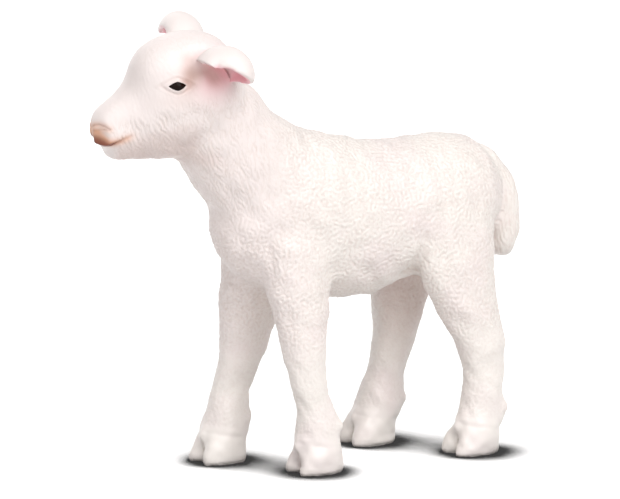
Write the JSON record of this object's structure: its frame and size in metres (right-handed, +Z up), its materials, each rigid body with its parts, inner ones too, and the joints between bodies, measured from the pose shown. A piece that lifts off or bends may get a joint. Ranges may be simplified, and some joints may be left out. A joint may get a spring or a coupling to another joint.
{
  "type": "toy farm animal figure",
  "caption": "Standing toy lamb in soft cream vinyl, with cloven hooves, curled ears, a hanging tail and a fine curly fleece.",
  "frame": {"origin": "middle of the bounding box's base, on the floor between the hooves", "axes": "+Z up; the lamb's nose points to -Y and its tail to +Y; its left side is +X"},
  "size_m": [0.0162, 0.0484, 0.0461],
  "materials": {
    "torso": "satin cream vinyl with a fine curly fleece relief",
    "head_and_neck": "satin cream vinyl with a pink tint, fine hair strokes, painted eyes and mouth",
    "ear_left": "satin cream vinyl, painted pink inside",
    "ear_right": "satin cream vinyl, painted pink inside",
    "foreleg_left": "satin cream vinyl, smooth towards the hoof",
    "foreleg_right": "satin cream vinyl, smooth towards the hoof",
    "hindleg_left": "satin cream vinyl, smooth towards the hoof",
    "hindleg_right": "satin cream vinyl, smooth towards the hoof",
    "tail": "satin cream vinyl with lengthwise hair strokes"
  },
  "bodies": {
    "root": {"torso": "torso", "head_and_neck": "head_and_neck", "ear_left": "ear_left", "ear_right": "ear_right", "foreleg_left": "foreleg_left", "foreleg_right": "foreleg_right", "hindleg_left": "hindleg_left", "hindleg_right": "hindleg_right", "tail": "tail"}
  },
  "joints": []
}
